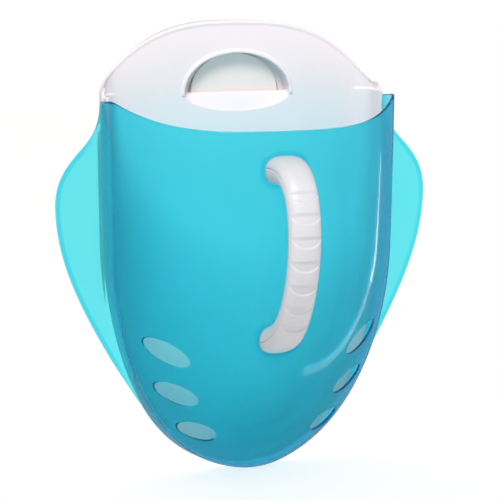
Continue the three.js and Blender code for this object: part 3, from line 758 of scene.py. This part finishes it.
def finger_ramp(steps=72):
    """Sloping half-moon under the hanging opening."""
    half = OPENING_HALF_WIDTH + RAMP_WALL
    rings = []
    for angle in np.linspace(0.0, math.pi, steps):
        x = -half * math.cos(angle)
        drop = max(RAMP_END_HEIGHT, (RAMP_HEIGHT + RAMP_WALL) * math.sin(angle))
        rings.append([
            (x, -RAMP_BACK, OPENING_BASE_Z),
            (x, -RAMP_BACK - RAMP_WALL, OPENING_BASE_Z),
            (x, -PANEL_FRONT, OPENING_BASE_Z - drop),
            (x, -PANEL_BACK, OPENING_BASE_Z - drop),
        ])
    return loft("ramp", rings)


def add_opening(panel):
    """Hanging opening with its hood, the hooked lip at the hood's back and the finger ramp."""
    ramp_edge = dome(OPENING_HALF_WIDTH, -RAMP_HEIGHT, OPENING_BASE_Z)[::-1]
    eye = np.vstack([dome(OPENING_HALF_WIDTH, OPENING_HEIGHT, OPENING_BASE_Z), ramp_edge[1:-1]])
    combine(panel, front_prism("eye", eye, 0.0, 2 * PANEL_FRONT), "DIFFERENCE")
    hood = front_prism("hood", dome_ring(0.0), HOOK_LIP_BACK, PANEL_FRONT + OPENING_BEAD)
    combine(panel, hood, "UNION")
    hook = front_prism("hook", dome_ring(HOOK_LIP_REACH), HOOK_LIP_BACK, HOOK_LIP_FRONT)
    combine(panel, hook, "UNION")
    combine(panel, finger_ramp(), "UNION")


def arch_bead(steps=240):
    """Narrow raised edge along the arch, on the dish's inner face."""
    x = np.linspace(REAR_HALF_WIDTH, -REAR_HALF_WIDTH, steps)
    upper = np.column_stack([x, arch_z(x)])
    lower = np.column_stack([x, arch_z(x) - ARCH_BEAD_WIDTH])[::-1]
    bead = panel_dish("bead")
    inset = PANEL_DRAW + PANEL_WALL + ARCH_BEAD_RISE
    hollow = dish("bead_hollow", PANEL_FRONT + ARCH_BEAD_RISE, PANEL_CURL, inset, PANEL_CLEAR)
    combine(bead, hollow, "DIFFERENCE")
    return combine(bead, front_prism("bead_band", np.vstack([upper, lower]), 0.0, PANEL_CLEAR), "INTERSECT")


def top_lip(steps=90):
    """Crescent along the top of the arch that reaches back towards the wall."""
    x = np.linspace(TOP_LIP_HALF_SPAN, -TOP_LIP_HALF_SPAN, steps)
    taper = 1.0 - (x / TOP_LIP_HALF_SPAN) ** 2
    upper = np.column_stack([x, arch_z(x) + TOP_LIP_RISE * taper])
    lower = np.column_stack([x, arch_z(x) - PANEL_WALL])[::-1]
    band = front_prism("lip", np.vstack([lower, upper]), 0.0, PANEL_FRONT - SEAT_GAP)
    back = np.column_stack([x, PANEL_BACK - (TOP_LIP_DEPTH - PANEL_WALL) * taper])
    ends = [[-TOP_LIP_HALF_SPAN, PANEL_FRONT], [TOP_LIP_HALF_SPAN, PANEL_FRONT]]
    plan = plan_prism("lip_plan", np.vstack([ends, back]), SIDE_BOTTOM_Z, PANEL_SKY_Z)
    return combine(band, plan, "INTERSECT")


def foot_rib(side):
    low = (side * FOOT_RIB_X - FOOT_RIB_WIDTH / 2, FOOT_RIB_TOP_Z - FOOT_RIB_LENGTH)
    high = (side * FOOT_RIB_X + FOOT_RIB_WIDTH / 2, FOOT_RIB_TOP_Z)
    outline = [low, (high[0], low[1]), high, (low[0], high[1])]
    return front_prism("rib", outline, SEAT_GAP, PANEL_FRONT - SEAT_GAP)


def panel_body():
    panel = hollow_panel()
    combine(panel, under_arch(), "INTERSECT")
    add_opening(panel)
    combine(panel, top_lip(), "UNION")
    combine(panel, arch_bead(), "UNION")
    for side in (-1, 1):
        combine(panel, foot_rib(side), "UNION")
    return panel


def soften_panel(panel):
    """Even mesh with slightly rounded edges, as a moulding has."""
    remesh = panel.modifiers.new("remesh", "REMESH")
    remesh.mode = "VOXEL"
    remesh.voxel_size = PANEL_VOXEL * MM
    relax = panel.modifiers.new("relax", "SMOOTH")
    relax.factor = PANEL_RELAX
    relax.iterations = PANEL_SMOOTHING
    thin = panel.modifiers.new("thin", "DECIMATE")
    thin.ratio = PANEL_FACES_KEPT
    apply_modifiers(panel)


# Materials
def new_material(name):
    material = bpy.data.materials.new(name)
    material.use_nodes = True
    return material, material.node_tree, material.node_tree.nodes["Principled BSDF"]


def set_values(node, values):
    for socket, value in values.items():
        node.inputs[socket].default_value = value


def noise(tree, scale, detail=3.0):
    place = tree.nodes.new("ShaderNodeTexCoord")
    texture = tree.nodes.new("ShaderNodeTexNoise")
    set_values(texture, {"Scale": scale, "Detail": detail})
    tree.links.new(place.outputs["Object"], texture.inputs["Vector"])
    return texture.outputs["Fac"]


def vary_roughness(tree, shader, source, roughness):
    low, high = roughness
    spread = tree.nodes.new("ShaderNodeMapRange")
    set_values(spread, {"From Min": NOISE_LOW, "From Max": NOISE_HIGH, "To Min": low, "To Max": high})
    tree.links.new(source, spread.inputs["Value"])
    tree.links.new(spread.outputs["Result"], shader.inputs["Roughness"])


def vary_colour(tree, shader, source, tones):
    low, high = tones
    ramp = tree.nodes.new("ShaderNodeValToRGB")
    ramp.color_ramp.elements[0].position = NOISE_LOW
    ramp.color_ramp.elements[1].position = NOISE_HIGH
    ramp.color_ramp.elements[0].color = (*low, 1.0)
    ramp.color_ramp.elements[1].color = (*high, 1.0)
    tree.links.new(source, ramp.inputs["Fac"])
    tree.links.new(ramp.outputs["Color"], shader.inputs["Base Color"])


def add_bump(tree, shader, source, strength, height):
    bump = tree.nodes.new("ShaderNodeBump")
    set_values(bump, {"Strength": strength, "Distance": height * MM})
    tree.links.new(source, bump.inputs["Height"])
    tree.links.new(bump.outputs["Normal"], shader.inputs["Normal"])


def aqua_material():
    """Tinted plastic, slightly hazy under a polished skin, and deeper in colour where it is thicker."""
    material, tree, shader = new_material("aqua_plastic")
    vary_colour(tree, shader, noise(tree, AQUA_TONE_SCALE), AQUA_TONES)
    vary_roughness(tree, shader, noise(tree, AQUA_HAZE_SCALE), AQUA_ROUGHNESS)
    set_values(shader, {
        "Transmission Weight": AQUA_TRANSMISSION,
        "IOR": AQUA_IOR,
        "Specular Tint": AQUA_GLOSS_TINT,
        "Coat Weight": AQUA_COAT,
        "Coat Roughness": AQUA_COAT_ROUGHNESS,
    })
    waves = noise(tree, AQUA_WAVE_SCALE, AQUA_WAVE_DETAIL)
    add_bump(tree, shader, waves, AQUA_WAVE_STRENGTH, AQUA_WAVE_HEIGHT)
    tint = tree.nodes.new("ShaderNodeVolumeAbsorption")
    set_values(tint, {"Color": AQUA_DEPTH_COLOUR, "Density": AQUA_DEPTH_DENSITY})
    tree.links.new(tint.outputs["Volume"], tree.nodes["Material Output"].inputs["Volume"])
    return material


def plastic_material(name, tones, roughness, grain_scale):
    """Moulded white plastic with faint flow marks and a fine grain. Where its tones carry a pink or warm
    cast, that cast is painted bounce light.
    """
    material, tree, shader = new_material(name)
    vary_colour(tree, shader, noise(tree, FLOW_MARK_SCALE), tones)
    vary_roughness(tree, shader, noise(tree, POLISH_SCALE), roughness)
    set_values(shader, {
        "Subsurface Weight": SUBSURFACE_WEIGHT,
        "Subsurface Radius": SUBSURFACE_RADIUS,
        "Subsurface Scale": SUBSURFACE_DEPTH * MM,
    })
    add_bump(tree, shader, noise(tree, grain_scale), GRAIN_STRENGTH, GRAIN_HEIGHT)
    return material


def foam_material():
    material, tree, shader = new_material("foam_tape")
    cells = noise(tree, FOAM_CELL_SCALE, FOAM_CELL_DETAIL)
    vary_colour(tree, shader, cells, FOAM_TONES)
    set_values(shader, {"Roughness": MATT})
    add_bump(tree, shader, cells, FOAM_CELL_STRENGTH, FOAM_CELL_HEIGHT)
    return material


def steel_material():
    material, tree, shader = new_material("screw_steel")
    set_values(shader, {"Metallic": 1.0})
    marks = noise(tree, STEEL_MARK_SCALE, STEEL_MARK_DETAIL)
    vary_colour(tree, shader, marks, STEEL_TONES)
    vary_roughness(tree, shader, marks, STEEL_ROUGHNESS)
    return material


def set_material(obj, material):
    obj.data.materials.clear()
    obj.data.materials.append(material)


def dress(obj, name, material, body, node):
    """Names a piece, gives it its finish and puts it in a CAD node's place."""
    obj.name = name
    set_material(obj, material)
    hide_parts(node)
    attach(obj, body)


def dress_node(node, material, rounding):
    """Gives a CAD node that stays a finish and rounded edges."""
    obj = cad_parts[node]
    set_material(obj, material)
    weld = obj.modifiers.new("weld", "WELD")
    weld.merge_threshold = NEARLY_COINCIDENT * MM
    bevel = obj.modifiers.new("bevel", "BEVEL")
    bevel.width = rounding * MM
    bevel.segments = ROUNDING_STEPS
    bevel.limit_method = "ANGLE"
    bevel.angle_limit = math.radians(NODE_SHARP)
    bevel.harden_normals = True


# Pieces
def build_shell(material):
    shell = shell_body()
    for side in (-1, 1):
        combine(shell, fin_plate(side), "UNION")
        combine(shell, fin_bead(side), "UNION")
    for share in (0.0, 1.0):
        combine(shell, collar(share), "UNION")
    for side in (-1, 1):
        for index in range(len(DRAIN_LENGTHS)):
            combine(shell, drain_cutter(index, side), "DIFFERENCE")
    screw_bores(shell)
    smooth(shell, SHELL_SHARP)
    dress(shell, "shell_moulding", material, "scoop", "scoop_shell")


def build_panel(material):
    panel = panel_body()
    soften_panel(panel)
    smooth(panel, PANEL_SHARP)
    dress(panel, "panel_moulding", material, "scoop", "back_panel")


def build_handle(material):
    halves = (("handle_cover", "handle_front", True), ("handle_inner", "handle_back", False))
    for name, node, front in halves:
        half = handle_half(front)
        screw_bores(half)
        smooth(half, HANDLE_SHARP)
        dress(half, name, material, "scoop", node)


# Studio
def add_camera():
    data = bpy.data.cameras.new("photo_camera")
    data.lens = CAMERA_LENS
    data.sensor_width = SENSOR_WIDTH
    camera = bpy.data.objects.new("photo_camera", data)
    camera.location = CAMERA_PLACE
    camera.rotation_euler = (math.pi / 2 - CAMERA_PITCH, 0.0, -CAMERA_YAW)
    bpy.context.scene.collection.objects.link(camera)
    bpy.context.scene.camera = camera


def add_area_light(name, place, turn, width, height, power):
    """Rectangle of light that the camera doesn't see."""
    data = bpy.data.lights.new(name, "AREA")
    data.shape = "RECTANGLE"
    data.size = width
    data.size_y = height
    data.energy = power
    light = bpy.data.objects.new(name, data)
    light.location = place
    light.rotation_euler = turn
    light.visible_camera = False
    bpy.context.scene.collection.objects.link(light)


def add_key_box():
    turn = (Vector(KEY_TARGET) - Vector(KEY_PLACE)).to_track_quat("-Z", "Y").to_euler()
    add_area_light("key_box", KEY_PLACE, turn, KEY_SIZE, KEY_SIZE, KEY_POWER)


def add_floor_strip(start, end, glow):
    """Narrow strip of light along the floor, facing up, which draws a line in the shell's gloss."""
    start, end = Vector(start), Vector(end)
    length = (end - start).length
    turn = (math.pi, 0.0, math.atan2(end.y - start.y, end.x - start.x))
    power = glow * length * STRIP_WIDTH
    add_area_light("floor_strip", (start + end) / 2, turn, length, STRIP_WIDTH, power)


def add_floor(name, tone, glow, steps=96, curve_steps=12):
    """Round pale floor that curves up far away."""
    z = TIP_Z - FLOOR_GAP
    turn = np.linspace(0.0, 2 * math.pi, steps, endpoint=False)
    rings = []
    for angle in np.linspace(0.0, math.pi / 2, curve_steps):
        radius = (FLOOR_FLAT_RADIUS + FLOOR_CURVE_RADIUS * math.sin(angle)) / MM
        height = FLOOR_CURVE_RADIUS * (1.0 - math.cos(angle)) / MM
        level = np.full(steps, z + height)
        rings.append(np.column_stack([radius * np.cos(turn), radius * np.sin(turn), level]))
    faces = grid_faces(curve_steps, steps, closed=True)
    faces.append(tuple(range(steps)))
    floor = add_object(name, np.asarray(rings).reshape(-1, 3), faces)
    material, tree, shader = new_material(name)
    tones = [[channel + spread for channel in tone] for spread in (-TONE_SPREAD, TONE_SPREAD)]
    vary_colour(tree, shader, noise(tree, FLOOR_TONE_SCALE), tones)
    set_values(shader, {"Roughness": MATT, "Emission Color": WHITE, "Emission Strength": glow})
    floor.data.materials.append(material)
    return floor


def add_floors():
    floor = add_floor("floor", FLOOR_TONE, FLOOR_GLOW)
    floor.visible_glossy = False
    mirrored = add_floor("mirrored_floor", GLOSS_TONE, GLOSS_GLOW)
    mirrored.visible_camera = False
    mirrored.visible_diffuse = False
    mirrored.visible_transmission = False


def add_world():
    world = bpy.data.worlds.new("studio")
    world.use_nodes = True
    set_values(world.node_tree.nodes["Background"], {"Color": WHITE, "Strength": WORLD_STRENGTH})
    bpy.context.scene.world = world


build_shell(aqua_material())
# Panel: the pink cast of its tones is painted bounce light
build_panel(plastic_material("panel_plastic_painted_bounce", PANEL_PAINTED_PINK_BOUNCE_TONES, PANEL_ROUGHNESS, PANEL_GRAIN_SCALE))
build_handle(plastic_material("grip_plastic", GRIP_TONES, GRIP_ROUGHNESS, GRIP_GRAIN_SCALE))
# Bracket: the warm cast of its tones is painted bounce light
bracket_painted_bounce = plastic_material("bracket_plastic", BRACKET_PAINTED_WARM_BOUNCE_TONES, BRACKET_ROUGHNESS, BRACKET_GRAIN_SCALE)
dress_node("wall_bracket", bracket_painted_bounce, BRACKET_ROUNDING)
dress_node("adhesive_pad", foam_material(), SMALL_ROUNDING)
steel = steel_material()
for screw_node in SCREW_NODES:
    dress_node(screw_node, steel, SMALL_ROUNDING)

add_camera()
add_floors()
add_world()
add_key_box()
add_floor_strip(STRIP_START, STRIP_MIDDLE, STRIP_NEAR_GLOW)
add_floor_strip(STRIP_MIDDLE, STRIP_END, STRIP_FAR_GLOW)
bpy.context.scene.view_settings.view_transform = "Standard"
bpy.context.scene.cycles.use_denoising = True
